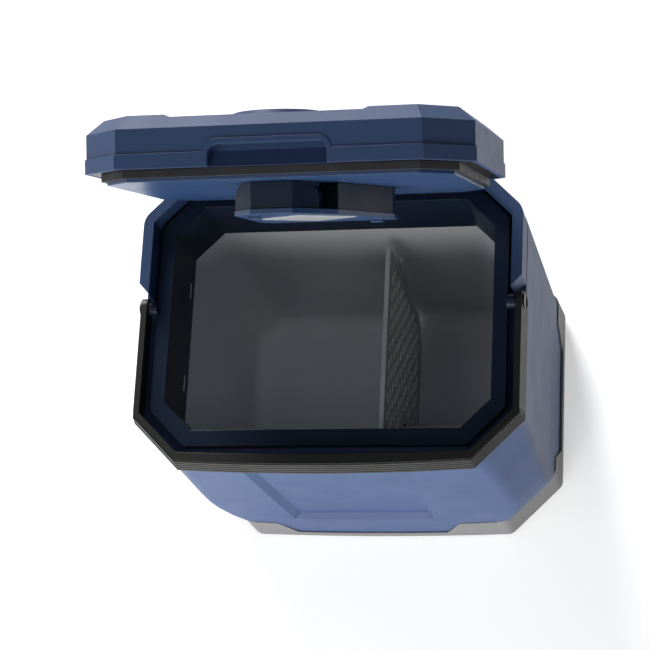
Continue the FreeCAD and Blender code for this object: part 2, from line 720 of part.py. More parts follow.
def make_pipes():
    drier = cyl(8.0, (DRIER_X, DRIER_Y, 30), (0, 0, 1), 60)
    save("filter_drier", drier.makeFillet(5.0, round_edges(drier)))
    pipe_y = DRIER_Y + 16.0
    discharge = [
        V(COMP_X - COMP_R - 0.3, COMP_Y, 60), V(0, COMP_Y, 60), V(0, pipe_y, 60),
        V(DRIER_X, pipe_y, 110), V(DRIER_X, DRIER_Y, 110), V(DRIER_X, DRIER_Y, 90.3),
    ]
    save("discharge_pipe", bent_tube(discharge, 6.0, 2.5))
    suction = [
        V(COMP_X + COMP_R + 0.3, COMP_Y, 100), V(140, COMP_Y, 100),
        V(140, -74, 100), V(140, -74, 140),
    ]
    save("suction_pipe", bent_tube(suction, 8.0, 3.0))


def make_sensor():
    clip = box(154.0, 159.6, 30, 52, RIM_Z - 130, RIM_Z - 112)
    save("temperature_sensor", clip.makeFillet(2.0, clip.Edges[:4]))


# ---- divider ------------------------------------------------------------------------------
def divider_outline(edge):
    """The plate's outline, drawn in by edge for the panel inside its border."""
    foot = FLOOR_Z + 0.8 + edge
    top = RIM_Z - 93.0 - edge
    step = BAY_TOP_Z + 1.0 + edge
    back_of_bay = BAY_BACK_Y + 1.0 + edge
    back = [
        (back_of_bay, foot), (62.0 - edge * 0.4, foot), (80.0 - edge * 0.8, foot + 9.0),
        (89.0 - edge, foot + 27.0), (107.0 - edge, top - 8.0), (105.0 - edge, top),
    ]
    front = [
        (-104.0 + edge, top), (-109.0 + edge, top - 10.0), (-101.0 + edge, step + 13.0),
        (-88.0 + edge * 0.6, step), (BAY_BACK_Y - BAY_LIP_CUT, step),
        (back_of_bay, step - BAY_LIP_CUT),
    ]
    return back + front


def make_divider():
    """A slotted and ribbed plate that stands front to back on the cavity floor."""
    x0 = DIVIDER_X - DIVIDER_T / 2
    x1 = DIVIDER_X + DIVIDER_T / 2
    plate = prism_along_x(divider_outline(0.0), x0, x1)
    low = FLOOR_Z + 16.0
    pitch = (DIVIDER_RIDGE_TOP_Z - low) / DIVIDER_ROWS
    half = DIVIDER_RIDGE / 2
    ridges = []
    for row in range(DIVIDER_ROWS + 1):
        z = low + pitch * row
        ridges.append(box(x0 - 1, x1 + 1, -200, 200, z - half, z + half))
    ridges = group(ridges)
    inner = divider_outline(DIVIDER_BORDER)
    for start, end in ((x0 - 1, x0 + DIVIDER_POCKET), (x1 - DIVIDER_POCKET, x1 + 1)):
        plate = plate.cut(prism_along_x(inner, start, end).cut(ridges))
    field = prism_along_x(divider_outline(DIVIDER_BORDER + 3.0), x0 - 1, x1 + 1)
    half = SLOT_HEIGHT / 2
    slots = []
    for row in range(DIVIDER_ROWS):
        z = low + pitch * (row + 0.5)
        y = -110.0 + SLOT_PITCH / 2 * (row % 2)
        while y < 100.0:
            slots.append(box(x0 - 1, x1 + 1, y, y + SLOT_LENGTH, z - half, z + half))
            y += SLOT_PITCH
    plate = plate.cut(group(slots).common(field))
    save("divider", plate)


# ---- hinges -------------------------------------------------------------------------------
PIN_R = 2.5
PIN_HOLE_R = 2.55
KNUCKLE_R = 4.4
LEAF_T = 1.8
KNUCKLE_HALF = 12.0
HINGE_SCREW_X = 14.0


def with_screws(plate, x, y, z, screws):
    """Drills a plate on the face at y for two screws either side of x, and adds the screws."""
    for side in (-1, 1):
        screw_x = x + side * HINGE_SCREW_X
        plate = plate.cut(cyl(SCREW_SHANK_R + 0.1, (screw_x, y - 10, z), (0, 1, 0), 30))
        screws.append(screw(screw_x, y, z, (0, 1, 0), LEAF_T - 0.1))
    return plate


def hinge_barrel(x, half, radius):
    return cyl(radius, (x - half, HINGE_Y, HINGE_Z), (1, 0, 0), 2 * half)


def make_hinges():
    """Two hinges: a bracket behind the cabinet, a leaf behind the lid and a pin through both."""
    half = HINGE_HALF
    middle = KNUCKLE_HALF
    brackets = []
    leaves = []
    pins = []
    bracket_screws = []
    leaf_screws = []
    bracket_y = BODY.back + 0.1
    bracket_front = bracket_y + LEAF_T
    leaf_y = -LID_SIDE.front + 0.1
    for side in (-1, 1):
        x = side * HINGE_X
        pins.append(hinge_barrel(x, half, PIN_R))
        plate = box(x - half, x + half, bracket_y, bracket_front, RIM_Z - 44, HINGE_Z - 3)
        arm = box(x - half, x + half, HINGE_Y + 1, bracket_front, HINGE_Z - 4.2, HINGE_Z - 1.4)
        bracket = plate.fuse(arm).fuse(hinge_barrel(x, half, KNUCKLE_R))
        gap = middle + FIT
        bracket = bracket.cut(box(x - gap, x + gap, HINGE_Y - 8, HINGE_Y + 6.2, HINGE_Z - 9, HINGE_Z + 9))
        bracket = bracket.cut(hinge_barrel(x, 30, PIN_HOLE_R))
        bracket = with_screws(bracket, x, bracket_front, RIM_Z - 34, bracket_screws)
        brackets.append(bracket.removeSplitter())
        leaf = box(x - 20, x + 20, leaf_y, leaf_y + LEAF_T, LID_STEP_Z + 1.5, LID_BEVEL_Z - 3)
        arm = box(x - middle, x + middle, leaf_y, HINGE_Y, HINGE_Z + 3.4, HINGE_Z + KNUCKLE_R)
        leaf = leaf.fuse(arm).fuse(hinge_barrel(x, middle, KNUCKLE_R))
        leaf = leaf.cut(hinge_barrel(x, 30, PIN_HOLE_R))
        leaf = with_screws(leaf, x, leaf_y + LEAF_T, LID_BEVEL_Z - 10, leaf_screws)
        leaves.append(leaf.removeSplitter())
    save("hinge_brackets", group(brackets))
    save("hinge_pins", group(pins))
    save("bracket_screws", group(bracket_screws))
    save("hinge_leaves", group(leaves), lid=True)
    save("leaf_screws", group(leaf_screws), lid=True)


# ---- handle -------------------------------------------------------------------------------
RIB_COUNT = 5
RIB_DEPTH = 1.3
RIB_END_Y = -104.0
ARM_END_R = (HANDLE_Z1 - HANDLE_Z0) / 2
ARM_END_ROUND = 7.0
GROOVE_SHARE = 0.38  # of the rib pitch


def make_handle():
    """A ribbed bail whose outside leans in towards the top, open at the back over its two pivots."""
    bail = loft(HANDLE, HANDLE.inset(HANDLE_SLOPE), HANDLE_Z0, HANDLE_Z1)
    pitch = (HANDLE_Z1 - HANDLE_Z0) / RIB_COUNT
    front = box(-300, 300, -300, RIB_END_Y, 0, 600)
    for i in range(RIB_COUNT):
        low = HANDLE_Z0 + pitch * (i + 1.0 - GROOVE_SHARE)
        lean = HANDLE_SLOPE * (low - HANDLE_Z0) / (HANDLE_Z1 - HANDLE_Z0)
        groove = HANDLE.inset(-10.0).prism(low, low + pitch * GROOVE_SHARE)
        groove = groove.cut(HANDLE.inset(lean + RIB_DEPTH).prism(low - 1, low + pitch))
        bail = bail.cut(groove.common(front))
    arms = box(-300, 300, -300, PIVOT_Y, 0, 600)
    ends = cyl(ARM_END_R, (-250, PIVOT_Y, PIVOT_Z), (1, 0, 0), 500)
    bail = bail.common(arms.fuse(ends))
    bail = bail.cut(HANDLE_INNER.prism(HANDLE_Z0 - 5, HANDLE_Z1 + 5))
    half = HANDLE.half_x
    sweep = box(-half, half, -300, PIVOT_Y + ARM_END_R, 0, 600)
    outer_ends = []
    for edge in upright_edges(sweep):
        if edge.CenterOfMass.y > 0:
            outer_ends.append(edge)
    bail = bail.common(sweep.makeFillet(ARM_END_ROUND, outer_ends))
    head_x = HANDLE_INNER.half_x + 6.6
    pins = []
    for side in (-1, 1):
        bail = bail.cut(cyl(PIVOT_HOLE_R, (side * 180, PIVOT_Y, PIVOT_Z), (side, 0, 0), 40))
        counterbore = cyl(PIVOT_HEAD_R + 0.06, (side * head_x, PIVOT_Y, PIVOT_Z), (side, 0, 0), 10)
        bail = bail.cut(counterbore)
        tip_x = BOSS_X + 0.6
        pin = cyl(PIVOT_PIN_R, (side * tip_x, PIVOT_Y, PIVOT_Z), (side, 0, 0), head_x - tip_x + 0.4)
        head = cyl(PIVOT_HEAD_R, (side * (head_x + 0.2), PIVOT_Y, PIVOT_Z), (side, 0, 0), 2.0)
        pins.append(pin.fuse(head))
    save("handle_bail", bail.removeSplitter())
    save("handle_pivots", group(pins))


# ---- lid ----------------------------------------------------------------------------------
def arch(half_x, z0, z1, radius, y0, y1):
    """A doorway-shaped block with rounded top corners."""
    block = box(-half_x, half_x, y0, y1, z0, z1)
    tops = []
    for edge in block.Edges:
        mid = edge.CenterOfMass
        if abs(mid.z - z1) < 0.01 and abs(abs(mid.x) - half_x) < 0.01:
            tops.append(edge)
    return block.makeFillet(radius, tops)


def finger_recess(extra):
    """The scoop under the lid's front edge; extra grows it for the wall behind."""
    low = LID_SKIRT_Z - 2
    high = RIM_Z + 29.0 + extra
    opening = arch(56.5 + extra, low, high, 10.0 + extra, LID_SIDE.front - 5, -110.0)
    foot_y = -133.0 + extra
    roof_y = -125.5 + extra
    slope = [(-150, low), (foot_y, low), (roof_y, high - 6), (roof_y, high + 1), (-150, high + 1)]
    return opening.common(prism_along_x(slope, -80, 80))


def lid_solid(inset, z0, top_drop):
    """The lid's outside, drawn in by inset and lowered by top_drop for its inside."""
    side = LID_SIDE.inset(inset)
    low = side.prism(z0, LID_BEVEL_Z)
    run = LID_BEVEL_INSET * (LID_PAD_Z - LID_BEVEL_Z) / (LID_DIP_Z - LID_BEVEL_Z)
    cap = loft(side, side.inset(run), LID_BEVEL_Z, LID_PAD_Z - top_drop)
    return low.fuse(cap)


def top_dip(drop):
    """The shallow front-to-back channel between the two pads of the lid's top."""
    z = LID_DIP_Z - drop
    up = LID_PAD_Z + 5
    return prism_along_y([(-112, up), (-97, z), (88, z), (102, up)], -200, 200)


def cup_bore(z0):
    """The hole that the cup well passes through, from z0 up."""
    return cyl(CUP_R + CUP_WALL + FIT, (CUP_X, CUP_Y, z0), (0, 0, 1), 160)


def make_lid_shell():
    outer = lid_solid(0.0, LID_SKIRT_Z, 0.0).cut(top_dip(0.0))
    outer = outer.fuse(LID_BAND.prism(LID_SKIRT_Z, LID_STEP_Z))
    frame = arch(61.0, LID_SKIRT_Z, RIM_Z + 34.0, 13.0, LID_BAND.front, LID_SIDE.front + 1)
    outer = outer.fuse(frame)
    void = lid_solid(WALL, LID_SKIRT_Z - 1, WALL).cut(top_dip(WALL))
    shell = outer.cut(void.cut(finger_recess(2.5))).cut(finger_recess(0.0))
    shell = shell.cut(cup_bore(LID_SKIRT_Z))
    save("lid_shell", shell.removeSplitter(), lid=True)


def make_lid_inside():
    """The seal frame, gasket, inner panel and foam, one inside the other."""
    seal_z = LID_SKIRT_Z
    ring = GASKET.inset(GASKET_T)
    plug = GASKET.inset(GASKET_T + FIT)
    frame = LID_SIDE.inset(WALL + 0.4).prism(seal_z + 0.2, seal_z + 3.0)
    frame = frame.cut(ring.prism(seal_z - 5, seal_z + 10))
    frame = frame.cut(arch(60.0, LID_SKIRT_Z - 2, RIM_Z + 40.0, 5.0, -145.0, -122.6))
    save("lid_seal_frame", frame, lid=True)
    gasket = GASKET.prism(RIM_Z + FIT, seal_z).cut(ring.prism(RIM_Z - 5, seal_z + 5))
    save("lid_gasket", gasket, lid=True)
    bore = cup_bore(RIM_Z - 60)
    panel = plug.prism(RIM_Z - WALL, seal_z + WALL).cut(plug.inset(WALL).prism(RIM_Z, seal_z + 10))
    save("lid_inner_panel", panel.cut(bore), lid=True)
    foam = plug.inset(WALL + 0.4).prism(RIM_Z + FIT, LID_BEVEL_Z - 4)
    top = lid_solid(WALL + 1.0, seal_z + 4.0, WALL + 1.0).cut(top_dip(WALL + 1.0))
    foam = foam.fuse(top).cut(bore)
    foam = foam.cut(arch(64.0, LID_SKIRT_Z - 12, RIM_Z + 34.0, 5.0, -150.0, -114.0))
    save("lid_insulation", foam.removeSplitter(), lid=True)


POD_TOP_Z = RIM_Z - 3.2
POD_BOTTOM_Z = RIM_Z - 29.0
POD_ROUND = 13.0
POD = [
    (-27, -92), (13, -92), (33, -72), (33, -30), (48, -30), (48, -52),
    (86, 28), (86, 42), (-36, 42), (-47, 30), (-47, -72),
]
POD_HOLLOW = [(-43, -9), (45, -9), (52, -36), (80, 26), (80, 38), (-34, 38), (-43, 28)]
POD_CAP = [
    (-27.5, -93), (13.5, -93), (34, -73), (49, -55), (88, 26),
    (88, 44), (-37, 44), (-48, 30), (-48, -72.5),
]
POD_LENS_CENTRE = (14, -26)
POD_LENS = [(-34, -26), (14, -66), (62, -26), (14, 14)]


def pod_corner(x, side, y1):
    """What rounding takes off the pod's top edge that runs front to back at x."""
    z = POD_TOP_Z - POD_ROUND
    centre_x = x - side * POD_ROUND
    outer_x = x + side
    square = box(min(outer_x, centre_x), max(outer_x, centre_x), -100, y1, z, POD_TOP_Z + 1)
    return square.cut(cyl(POD_ROUND, (centre_x, -101, z), (0, 1, 0), y1 + 102))


def make_cup_well():
    """The cup well with the raised ring round its mouth, and a grooved mat in its bottom."""
    outer = cyl(CUP_R + CUP_WALL, (CUP_X, CUP_Y, CUP_BOTTOM_Z + 2), (0, 0, 1), LID_DIP_Z - CUP_BOTTOM_Z - 2)
    well = outer.cut(cyl(CUP_R, (CUP_X, CUP_Y, CUP_BOTTOM_Z + 5), (0, 0, 1), 200))
    seat = V(CUP_X, CUP_Y, LID_DIP_Z + 0.1)
    rim = Part.makeCone(CUP_RING_LOW_R, CUP_RING_TOP_R, CUP_RING_H, seat, V(0, 0, 1))
    neck = cyl(CUP_R + CUP_WALL, (CUP_X, CUP_Y, LID_DIP_Z - 1), (0, 0, 1), 1.5)
    bore = cyl(CUP_R, (CUP_X, CUP_Y, LID_DIP_Z - 2), (0, 0, 1), 20)
    well = well.fuse(rim.fuse(neck).cut(bore))
    save("cup_well", well.removeSplitter(), lid=True)
    mat = cyl(CUP_R - 0.6, (CUP_X, CUP_Y, CUP_BOTTOM_Z + 5.1), (0, 0, 1), 2.2)
    for i in range(-3, 4):
        x = CUP_X + i * 8
        mat = mat.cut(box(x - 1, x + 1, CUP_Y - 20, CUP_Y + 20, CUP_BOTTOM_Z + 6.4, RIM_Z))
    save("cup_mat", mat, lid=True)


def make_pod():
    """The housing that carries the bottom of the cup well below the lid."""
    pod = prism_along_z(POD, POD_BOTTOM_Z, POD_TOP_Z)
    pod = pod.cut(prism_along_z(POD_HOLLOW, POD_BOTTOM_Z + 2.5, POD_TOP_Z + 1))
    pod = pod.cut(pod_corner(-47, -1, 60)).cut(pod_corner(33, 1, -30))
    pod = pod.cut(cup_bore(POD_BOTTOM_Z - 10))
    save("pod_housing", pod, lid=True)
    base = prism_along_z(POD_CAP, POD_BOTTOM_Z - 5.0, POD_BOTTOM_Z - 0.2)
    base = base.cut(cup_bore(CUP_BOTTOM_Z + 1.8))
    base = base.cut(prism_along_z(POD_LENS, POD_BOTTOM_Z - 6.0, POD_BOTTOM_Z - 3.4))
    for x, y in ((-30, -66), (70, 30)):
        base = base.fuse(box(x - 6, x + 6, y - 4, y + 4, POD_BOTTOM_Z - 8.0, POD_BOTTOM_Z - 4.5))
    save("pod_cap", base.removeSplitter(), lid=True)
    centre_x, centre_y = POD_LENS_CENTRE
    wires = []
    for scale, drop in ((0.985, 3.5), (0.985, 5.4), (0.93, 6.4)):
        z = POD_BOTTOM_Z - drop
        loop = []
        for x, y in POD_LENS:
            loop.append(V(centre_x + (x - centre_x) * scale, centre_y + (y - centre_y) * scale, z))
        wires.append(Part.makePolygon(loop + loop[:1]))
    save("pod_lens", Part.makeLoft(wires, True, True), lid=True)


# ---- base screws --------------------------------------------------------------------------
def make_base_screws():
    screws = []
    for x, y in corners_of(0, 0, 120, 135) + [(-190, 0), (190, 0)]:
        screws.append(screw(x, y, TRAY_Z - 0.05, (0, 0, -1), 0.0))
    save("base_screws", group(screws))


# ---- build and export ---------------------------------------------------------------------
def build():
    make_outer_shell()
    make_base_tray()
    make_feet()
    make_rim_frame()
    make_throat_collar()
    make_light_windows()
    make_inner_liner()
    make_foam()
    make_evaporator()
    make_control_panel()
    make_vent_and_inlet()
    make_compressor()
    make_condenser()
    make_fan()
    make_electronics()
    make_pipes()
    make_sensor()
    make_divider()
    make_hinges()
    make_handle()
    make_lid_shell()
    make_lid_inside()
    make_cup_well()
    make_pod()
    make_base_screws()


def export():
    os.makedirs("parts", exist_ok=True)
    for name, shape in SHAPES.items():
        moved = shape.copy()
        moved.translate(V(0, SHIFT_Y, 0))
        if not moved.isValid():
            print("INVALID", name)
        if not moved.Solids:
            raise RuntimeError("no solid in " + name)
        moved.exportStep("parts/" + name + ".step")
        size = moved.BoundBox
        print(name, len(moved.Solids), round(moved.Volume), size)


build()
export()
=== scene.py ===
import json
import math

import bpy
from mathutils import Matrix, Vector

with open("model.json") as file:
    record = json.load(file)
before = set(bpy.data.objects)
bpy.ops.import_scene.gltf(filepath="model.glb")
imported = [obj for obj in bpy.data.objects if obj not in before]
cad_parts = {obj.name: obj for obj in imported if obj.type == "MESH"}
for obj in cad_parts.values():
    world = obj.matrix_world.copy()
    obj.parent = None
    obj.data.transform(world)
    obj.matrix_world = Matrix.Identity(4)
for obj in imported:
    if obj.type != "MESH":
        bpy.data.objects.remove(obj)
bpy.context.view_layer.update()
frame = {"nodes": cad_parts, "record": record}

# ---- camera, in metres unless said otherwise -----------------------------------------------
CAMERA_PLACE = Vector((0.4859, -0.71075, 2.4585))
CAMERA_RIGHT = Vector((0.9764, 0.0486, -0.2106))
CAMERA_DOWN = Vector((-0.0192, -0.9511, -0.3084))
CAMERA_FORWARD = Vector((-0.2152, 0.3051, -0.9277))
CAMERA_LENS_MM = 122.45
SENSOR_WIDTH_MM = 36.0
VIEW_END = 30.0

# ---- stage --------------------------------------------------------------------------------
FLOOR_SIZE = 16.0
FLOOR_GLOW = 0.40
FLOOR_ROUGHNESS = 0.9
FLOOR_DARK = (0.90, 0.90, 0.90)
FLOOR_LIGHT = (0.93, 0.93, 0.93)
HORIZON = (0.36, 0.37, 0.39)
ZENITH = (0.02, 0.021, 0.024)
ZENITH_FROM = 0.70
DIM_SIDE = 0.15
DIM_FROM = -0.1
DIM_TO = 0.8

# name, direction towards it, what a white card facing it gives back, degrees across
SUNS = (
    ("back_key", (-0.35, 0.88, 0.32), 1.70, 22.0),
    ("front_key", (-0.22, -0.97, 0.12), 1.15, 52.0),
    ("right_fill", (0.42, -0.26, 0.87), 0.08, 35.0),
    ("left_fill", (-0.40, -0.24, 0.88), 0.10, 35.0),
)
SOFTBOX_PLACE = (-0.30, -1.15, 0.18)
SOFTBOX_AIM = (0, -0.15, 0.18)
SOFTBOX_SIZE = (1.2, 0.3)
SOFTBOX_WATTS = 12.0

# ---- surface detail; scales are noise cells per metre, depths are metres -----------------------
NOISE_LOW = 0.3
NOISE_HIGH = 0.7
BEVEL_SAMPLES = 4
# samples for the painted shade in slots and corners
RECESS_SHADE_SAMPLES = 8
FLAT_DOT = 0.995
SHARP_DOT = 0.80
WEAR_BREAK_SCALE = 90.0
EDGE_RADIUS = 0.0011
PLASTIC_IOR = 1.47
DRIFT_SCALE = 7.0
SMEAR_SCALE = 22.0
WAVE_SCALE = 16.0
WAVE_DEPTH = 0.00012
GRAIN_SCALE = 1400.0
GRAIN_DEPTH = 0.00002
SKIRT_GRAIN_DEPTH = 0.00003
SPECK_SCALE = GRAIN_SCALE * 0.6
SPECK_SHARE = 0.12
SPECK_TONE = 1.45
WORN_TONE = 2.4
# how dark the painted shade in slots and corners goes
RECESS_SHADE_TONE = 0.22


# ---- node helpers -------------------------------------------------------------------------
class Nodes:
    """A short way to write a material's node tree."""

    def __init__(self, name):
        self.material = bpy.data.materials.new(name)
        self.material.use_nodes = True
        self.tree = self.material.node_tree
        self.shader = self.tree.nodes["Principled BSDF"]
        self.coords = self.add("ShaderNodeTexCoord").outputs["Object"]

    def add(self, kind, **settings):
        node = self.tree.nodes.new(kind)
        for key, value in settings.items():
            setattr(node, key, value)
        return node

    def link(self, source, target):
        self.tree.links.new(source, target)

    def noise(self, scale, detail=3.0, roughness=0.5, stretch=None):
        node = self.add("ShaderNodeTexNoise")
        node.inputs["Scale"].default_value = scale
        node.inputs["Detail"].default_value = detail
        node.inputs["Roughness"].default_value = roughness
        source = self.coords
        if stretch:
            mapping = self.add("ShaderNodeMapping")
            mapping.inputs["Scale"].default_value = stretch
            self.link(self.coords, mapping.inputs["Vector"])
            source = mapping.outputs["Vector"]
        self.link(source, node.inputs["Vector"])
        return node.outputs["Fac"]

    def spread(self, value, low_in, high_in, low_out, high_out):
        """Maps value from one range to another and clips it there."""
        node = self.add("ShaderNodeMapRange")
        self.link(value, node.inputs["Value"])
        node.inputs["From Min"].default_value = low_in
        node.inputs["From Max"].default_value = high_in
        node.inputs["To Min"].default_value = low_out
        node.inputs["To Max"].default_value = high_out
        return node.outputs["Result"]

    def vary(self, noise, low, high):
        """Spreads a noise over low to high."""
        return self.spread(noise, NOISE_LOW, NOISE_HIGH, low, high)

    def math(self, operation, a, b):
        node = self.add("ShaderNodeMath", operation=operation)
        for socket, value in zip(node.inputs, (a, b)):
            if isinstance(value, (int, float)):
                socket.default_value = value
            else:
                self.link(value, socket)
        return node.outputs["Value"]

    def mix(self, factor, a, b):
        node = self.add("ShaderNodeMix", data_type="RGBA")
        sockets = (node.inputs[0], node.inputs[6], node.inputs[7])
        for socket, value in zip(sockets, (factor, a, b)):
            if isinstance(value, tuple):
                socket.default_value = (*value, 1.0)
            elif isinstance(value, (int, float)):
                socket.default_value = value
            else:
                self.link(value, socket)
        return node.outputs[2]

    def edges(self, radius):
        """1 on sharp edges and 0 on flat stretches, broken up like real wear."""
        bevel = self.add("ShaderNodeBevel", samples=BEVEL_SAMPLES)
        bevel.inputs["Radius"].default_value = radius
        flat = self.add("ShaderNodeNewGeometry").outputs["Normal"]
        dot = self.add("ShaderNodeVectorMath", operation="DOT_PRODUCT")
        self.link(bevel.outputs["Normal"], dot.inputs[0])
        self.link(flat, dot.inputs[1])
        sharp = self.spread(dot.outputs["Value"], FLAT_DOT, SHARP_DOT, 0.0, 1.0)
        broken = self.spread(self.noise(WEAR_BREAK_SCALE, 4.0), 0.35, 0.65, 0.25, 1.0)
        return self.math("MULTIPLY", sharp, broken)

    def painted_recess_shade(self, reach):
        """Painted shade from ambient occlusion: 1 deep inside slots and corners and 0 in the open."""
        shade = self.add("ShaderNodeAmbientOcclusion", samples=RECESS_SHADE_SAMPLES)
        shade.inputs["Distance"].default_value = reach
        return self.spread(shade.outputs["AO"], 0.35, 0.85, 1.0, 0.0)

    def relief(self, heights, bevel_radius):
        """Adds heights, a list of (value, depth in metres), over softly rounded edges."""
        bevel = self.add("ShaderNodeBevel", samples=BEVEL_SAMPLES)
        bevel.inputs["Radius"].default_value = bevel_radius
        normal = bevel.outputs["Normal"]
        for value, depth in heights:
            bump = self.add("ShaderNodeBump")
            bump.inputs["Strength"].default_value = 1.0
            bump.inputs["Distance"].default_value = depth
            self.link(value, bump.inputs["Height"])
            self.link(normal, bump.inputs["Normal"])
            normal = bump.outputs["Normal"]
        self.link(normal, self.shader.inputs["Normal"])


def tone(color, factor):
    """The colour made lighter or darker, no brighter than white."""
    return tuple(min(1.0, c * factor) for c in color)


# ---- materials ----------------------------------------------------------------------------
def moulded(name, color, rough, wear=0.25, gloss=0.5, edge=EDGE_RADIUS, recess_shade_reach=0.0,
            grain_depth=GRAIN_DEPTH):
    """Moulded plastic: fine spark-eroded grain, slow colour drift, softer and lighter edges, and
    optionally painted shade in slots and corners.
    """
    m = Nodes(name)
    drift = m.vary(m.noise(DRIFT_SCALE, 4.0), 0.0, 1.0)
    speck = m.spread(m.noise(SPECK_SCALE, 1.0), 0.35, 0.65, 0.0, 1.0)
    base = m.mix(drift, tone(color, 0.93), tone(color, 1.07))
    base = m.mix(m.math("MULTIPLY", speck, SPECK_SHARE), base, tone(color, SPECK_TONE))
    edges = m.edges(edge)
    base = m.mix(m.math("MULTIPLY", edges, wear), base, tone(color, WORN_TONE))
    # painted shade: the base colour is darkened in slots and corners, read from ambient occlusion
    if recess_shade_reach:
        base = m.mix(m.painted_recess_shade(recess_shade_reach), base, tone(color, RECESS_SHADE_TONE))
    m.link(base, m.shader.inputs["Base Color"])
    smear = m.vary(m.noise(SMEAR_SCALE, 5.0, 0.6), rough - 0.035, rough + 0.045)
    fine = m.math("ADD", smear, m.math("MULTIPLY", speck, 0.03))
    polished = m.math("MULTIPLY", edges, 0.06)
    m.link(m.math("SUBTRACT", fine, polished), m.shader.inputs["Roughness"])
    grain = m.noise(GRAIN_SCALE, 2.0, 0.6)
    wave = m.noise(WAVE_SCALE, 2.0)
    m.relief([(wave, WAVE_DEPTH), (grain, grain_depth)], edge)
    m.shader.inputs["IOR"].default_value = PLASTIC_IOR
    m.shader.inputs["Specular IOR Level"].default_value = gloss
    return m.material


def rubber(name, color):
    """Soft black rubber, slightly dusty."""
    m = Nodes(name)
    dust = m.spread(m.noise(35.0, 6.0, 0.65), 0.45, 0.75, 0.0, 0.5)
    base = m.mix(dust, color, tone(color, 2.2))
    m.link(base, m.shader.inputs["Base Color"])
    m.link(m.vary(m.noise(60.0), 0.52, 0.72), m.shader.inputs["Roughness"])
    m.relief([(m.noise(900.0, 3.0), 0.00004)], 0.0006)
    return m.material


def metal(name, color, rough, brushed):
    """Bare metal, with fine drawing or brushing lines along one direction."""
    m = Nodes(name)
    lines = m.noise(500.0, 3.0, 0.6, brushed)
    stain = m.spread(m.noise(30.0, 5.0), 0.4, 0.75, 0.0, 0.45)
    base = m.mix(stain, color, tone(color, 0.62))
    m.link(base, m.shader.inputs["Base Color"])
    m.shader.inputs["Metallic"].default_value = 1.0
    m.link(m.vary(lines, rough - 0.08, rough + 0.10), m.shader.inputs["Roughness"])
    m.relief([(lines, 0.00001)], 0.0005)
    return m.material


def enamel(name, color):
    """Gloss enamel over steel, with a faint orange peel."""
    m = Nodes(name)
    chips = m.math("MULTIPLY", m.edges(0.0012), 0.5)
    base = m.mix(m.vary(m.noise(9.0), 0.0, 1.0), tone(color, 0.85), tone(color, 1.2))
    m.link(m.mix(chips, base, (0.20, 0.19, 0.18)), m.shader.inputs["Base Color"])
    m.link(m.vary(m.noise(26.0), 0.16, 0.30), m.shader.inputs["Roughness"])
    m.relief([(m.noise(260.0, 2.0), 0.00004)], 0.001)
    m.shader.inputs["Coat Weight"].default_value = 0.5
    m.shader.inputs["Coat Roughness"].default_value = 0.08
    return m.material


def foam(name, color):
    """Rigid foam with fine open cells and painted shade in their hollows."""
    m = Nodes(name)
    cells = m.add("ShaderNodeTexVoronoi")
    cells.inputs["Scale"].default_value = 700.0
    m.link(m.coords, cells.inputs["Vector"])
    cell = cells.outputs["Distance"]
    base = m.mix(m.vary(m.noise(18.0, 5.0), 0.0, 1.0), tone(color, 0.82), color)
    # painted shade: darker towards the centre of each foam cell, in its hollow
    pit_shade = m.spread(cell, 0.0, 0.6, 0.35, 0.0)
    m.link(m.mix(pit_shade, base, tone(color, 0.55)), m.shader.inputs["Base Color"])
    m.link(m.spread(cell, 0.0, 0.7, 0.95, 0.8), m.shader.inputs["Roughness"])
    m.relief([(cell, 0.0003)], 0.0008)
    return m.material


def circuit(name, color):
    """Solder mask with paler tracks under it."""
    m = Nodes(name)
    tracks = m.add("ShaderNodeTexBrick")
    tracks.inputs["Scale"].default_value = 60.0
    tracks.inputs["Mortar Size"].default_value = 0.03
    mapping = m.add("ShaderNodeMapping")
    mapping.inputs["Rotation"].default_value = (math.radians(90), 0, 0)
    m.link(m.coords, mapping.inputs["Vector"])
    m.link(mapping.outputs["Vector"], tracks.inputs["Vector"])
    base = m.mix(m.noise(40.0), tone(color, 0.8), tone(color, 1.25))
    m.link(m.mix(tracks.outputs["Fac"], base, tone(color, 2.2)), m.shader.inputs["Base Color"])
    m.link(m.vary(m.noise(80.0), 0.25, 0.42), m.shader.inputs["Roughness"])
    m.relief([(tracks.outputs["Fac"], 0.00003)], 0.0003)
    return m.material


def clear_window(name, color):
    """Dark smoked window over a display."""
    m = Nodes(name)
    m.link(m.mix(m.noise(30.0), tone(color, 0.8), tone(color, 1.3)), m.shader.inputs["Base Color"])
    m.link(m.spread(m.noise(50.0, 5.0), 0.35, 0.7, 0.04, 0.14), m.shader.inputs["Roughness"])
    m.relief([(m.noise(12.0), 0.00005)], 0.0004)
    m.shader.inputs["Coat Weight"].default_value = 0.8
    m.shader.inputs["Coat Roughness"].default_value = 0.03
    return m.material


def frosted_lens(name, color):
    """Milky plastic in front of a lamp."""
    m = Nodes(name)
    m.link(m.mix(m.noise(60.0), tone(color, 0.9), color), m.shader.inputs["Base Color"])
    m.link(m.vary(m.noise(200.0), 0.35, 0.5), m.shader.inputs["Roughness"])
    m.relief([(m.noise(1500.0), 0.00003)], 0.0004)
    m.shader.inputs["Subsurface Weight"].default_value = 0.15
    m.shader.inputs["Subsurface Radius"].default_value = (0.002, 0.002, 0.002)
    return m.material


BLUE = (0.027, 0.050, 0.118)
NAVY = (0.006, 0.012, 0.028)

